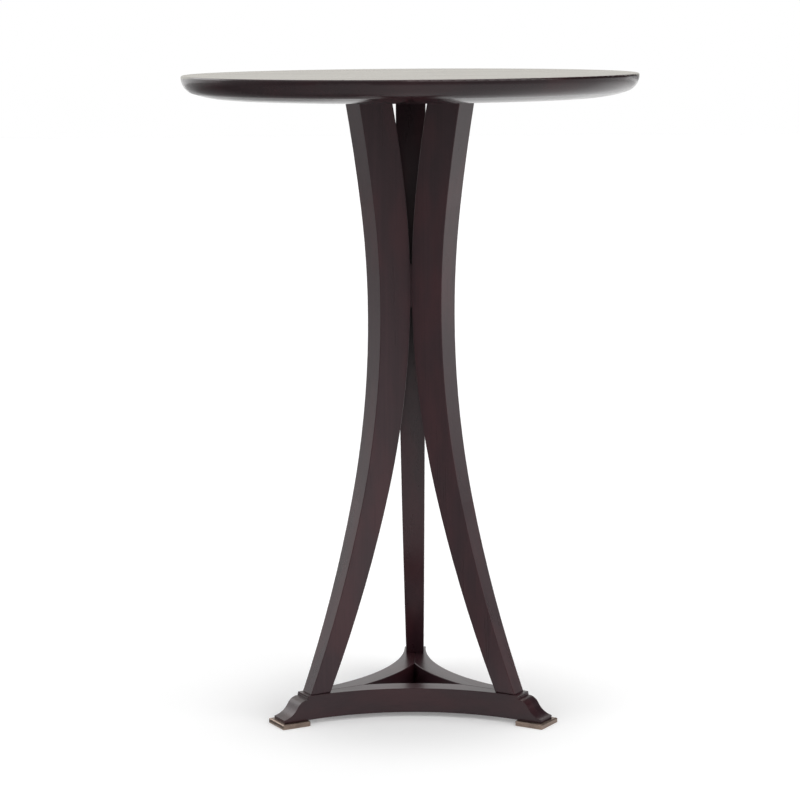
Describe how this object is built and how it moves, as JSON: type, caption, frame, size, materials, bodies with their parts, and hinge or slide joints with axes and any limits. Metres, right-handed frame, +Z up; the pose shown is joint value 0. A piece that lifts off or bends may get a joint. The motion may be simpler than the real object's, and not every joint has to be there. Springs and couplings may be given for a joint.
{
  "type": "round pedestal side table",
  "caption": "Round wooden side table on sabre-curved legs that meet at a waist and stand on a hollow-sided triangular base with ogee toes and bronze foot plates.",
  "frame": {"origin": "on the floor, on the table's vertical axis, under the middle of the round top", "axes": "+Z up; -Y towards the viewer of the picture, with the middle of the front base rail at -Y; the rear leg stands at +Y; +X to the right"},
  "size_m": [0.4569, 0.457, 0.65],
  "materials": {
    "dark_wood": "satin",
    "plain_wood": "matte",
    "aged_bronze": "satin",
    "plate_steel": "matte",
    "screw_steel": "satin"
  },
  "bodies": {
    "root": {"table_top": "dark_wood", "mounting_plate": "plate_steel", "mount_screws": "screw_steel", "leg_head_screws": "screw_steel", "leg_rear": "dark_wood", "leg_left": "dark_wood", "leg_right": "dark_wood", "waist_block": "dark_wood", "waist_dowels": "plain_wood", "rail_front": "dark_wood", "rail_left": "dark_wood", "rail_right": "dark_wood", "mitre_tenon_rear": "plain_wood", "mitre_tenon_left": "plain_wood", "mitre_tenon_right": "plain_wood", "foot_plate_rear": "aged_bronze", "foot_plate_left": "aged_bronze", "foot_plate_right": "aged_bronze", "leg_foot_screws": "screw_steel", "foot_plate_screws": "screw_steel"}
  },
  "joints": []
}
